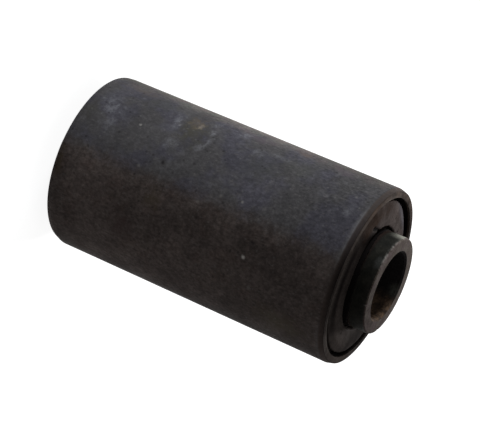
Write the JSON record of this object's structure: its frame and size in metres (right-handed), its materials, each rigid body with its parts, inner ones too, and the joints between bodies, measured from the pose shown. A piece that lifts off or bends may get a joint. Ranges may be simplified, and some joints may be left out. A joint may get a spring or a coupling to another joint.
{
  "type": "leaf spring bushing",
  "caption": "Cylindrical spring-eye bushing: a steel outer sleeve, a bonded rubber bush and a projecting steel inner sleeve that a bolt clamps, so the spring eye can twist.",
  "frame": {"origin": "centre of the lower end of the inner sleeve, which the bushing stands on", "axes": "+Z along the bolt axis; the bushing is a body of revolution, so +X and +Y may point anywhere round it"},
  "size_m": [0.0382, 0.038, 0.075],
  "materials": {
    "blackened_steel": "satin",
    "moulded_rubber": "matte",
    "tube_steel": "satin"
  },
  "bodies": {
    "root": {"outer_sleeve": "blackened_steel", "rubber_bush": "moulded_rubber", "inner_sleeve": "tube_steel"}
  },
  "joints": []
}
